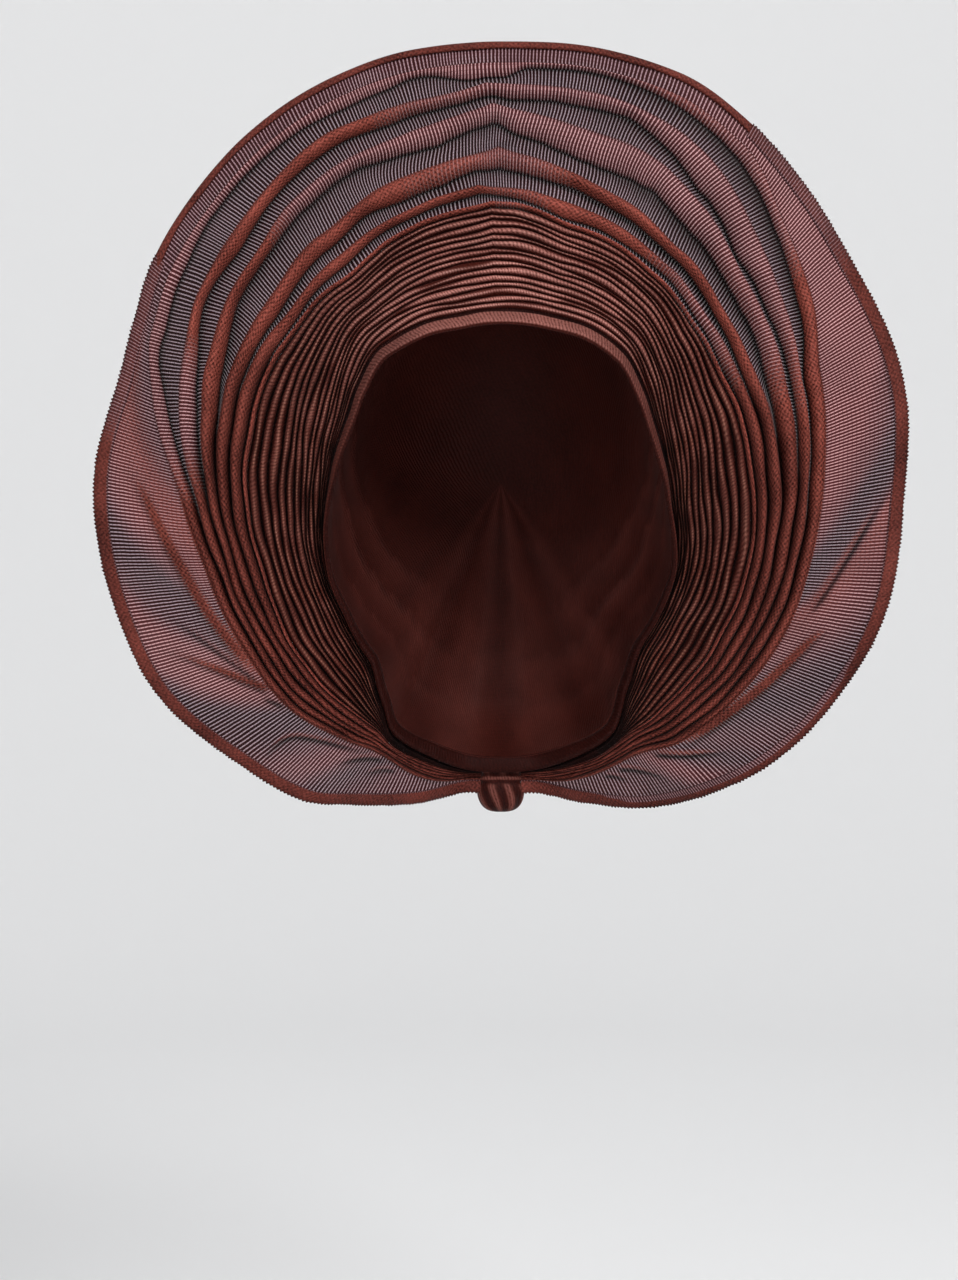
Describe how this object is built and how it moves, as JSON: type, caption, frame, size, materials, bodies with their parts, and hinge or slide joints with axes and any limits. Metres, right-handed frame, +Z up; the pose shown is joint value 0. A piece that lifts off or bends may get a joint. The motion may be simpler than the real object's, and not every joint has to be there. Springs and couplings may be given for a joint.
{
  "type": "tied gele head tie",
  "caption": "Pleated head tie of ribbed gauze, tied round a head band and spread into a wide ruffled fan round the face.",
  "frame": {"origin": "inside of the crown cap, where the top of the head touches it", "axes": "+Z up, -Y the front of the head tie, +X to the right of someone who looks at its front"},
  "size_m": [0.3713, 0.1824, 0.355],
  "materials": {
    "pleated_gauze": "ribbed gauze folded into tight pleats, dark oxblood with red-brown ridges",
    "open_gauze": "stiff sheer gauze with wine cords across the folds and pale gaps between them",
    "selvedge_weave": "dense red-brown selvedge weave with a saw-toothed edge",
    "cap_cloth": "the same gauze pulled over the crown in several layers, dark oxblood"
  },
  "bodies": {
    "root": {"head_band": "pleated_gauze", "tight_pleats": "pleated_gauze", "fanned_brim": "open_gauze", "rolled_top_edge": "selvedge_weave", "left_selvedge": "selvedge_weave", "right_selvedge": "selvedge_weave", "crown_cap": "cap_cloth", "nape_knot": "pleated_gauze"}
  },
  "joints": []
}
